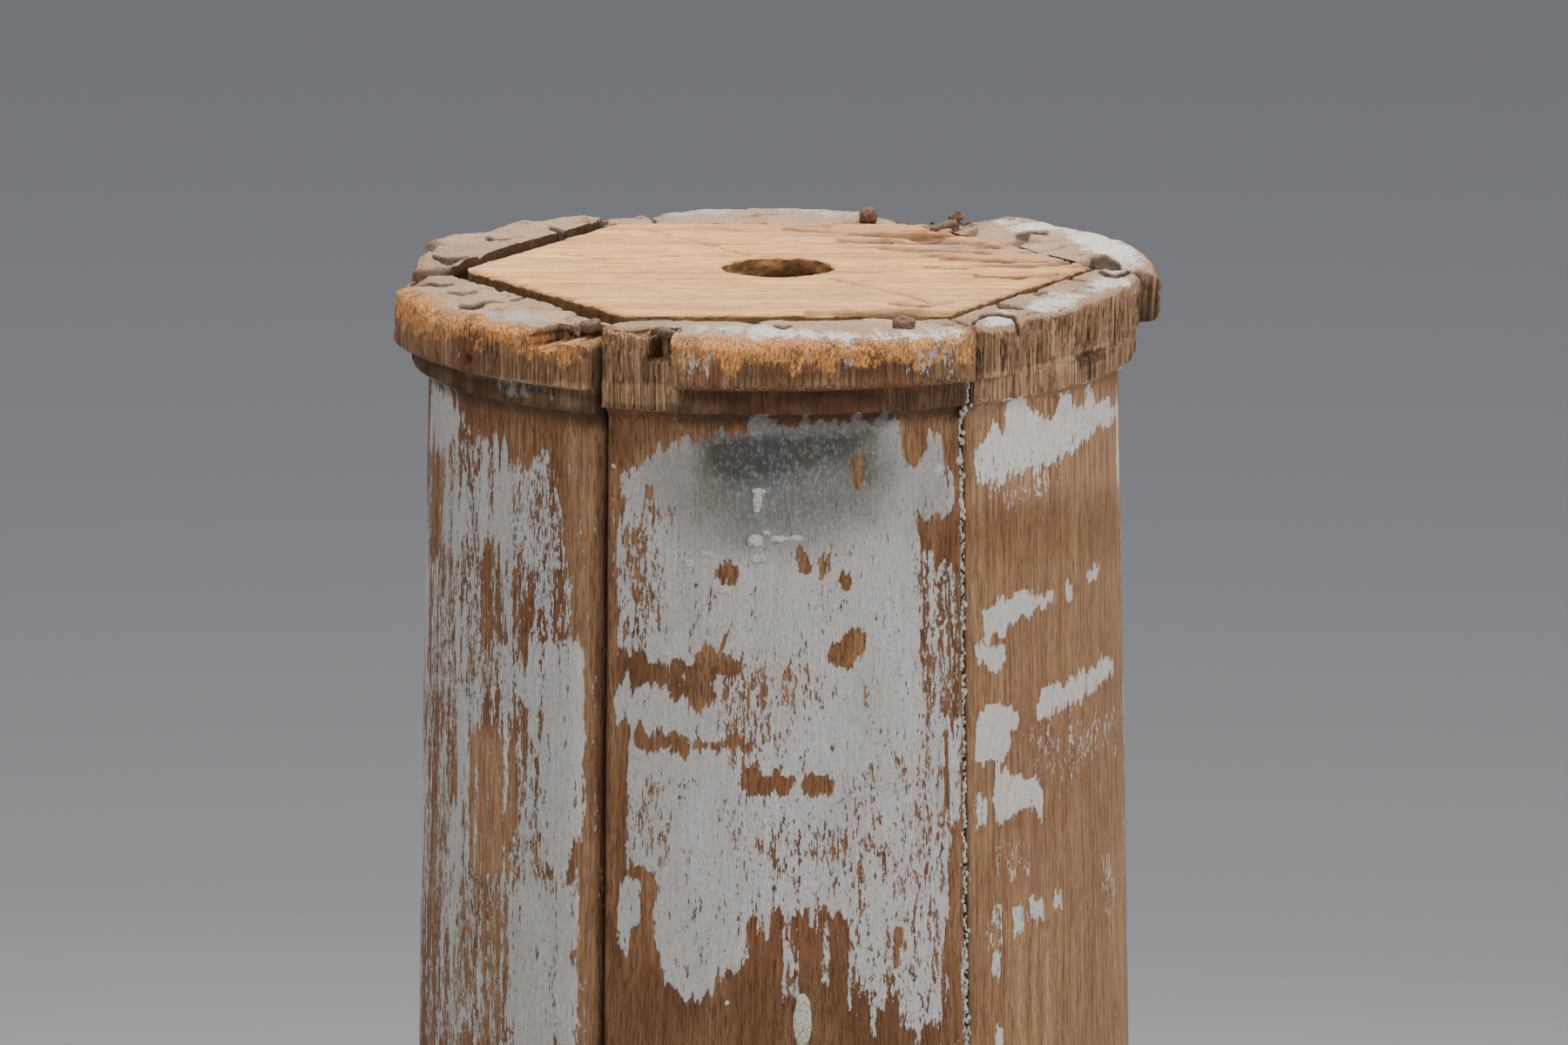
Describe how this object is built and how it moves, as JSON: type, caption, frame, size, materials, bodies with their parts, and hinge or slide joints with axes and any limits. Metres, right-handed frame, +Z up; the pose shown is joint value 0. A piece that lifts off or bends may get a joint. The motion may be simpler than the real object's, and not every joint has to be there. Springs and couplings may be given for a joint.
{
  "type": "wooden column shaft",
  "caption": "Top length of an old hollow wooden column: moulded staves round a hexagonal head board with a round bore, worn and partly painted.",
  "frame": {"origin": "on the column's axis at the middle of its sawn foot, the surface it stands on", "axes": "+Z up along the column's axis; the side seen in the picture looks along -Y, with +X to its right"},
  "size_m": [0.2298, 0.2298, 1.0042],
  "materials": {
    "stave_wood": "weathered brown hardwood with remains of pale grey-white paint",
    "board_wood": "bleached, dry, unpainted board",
    "rusted_iron": "rusted wrought nails"
  },
  "bodies": {
    "root": {"stave_front": "stave_wood", "stave_right_front": "stave_wood", "stave_right_back": "stave_wood", "stave_back": "stave_wood", "stave_left_back": "stave_wood", "stave_left_front": "stave_wood", "head_board": "board_wood", "nail_left_seam": "rusted_iron", "nail_front_notch": "rusted_iron", "nail_front_right": "rusted_iron", "nail_back": "rusted_iron", "nail_right_back": "rusted_iron"}
  },
  "joints": []
}
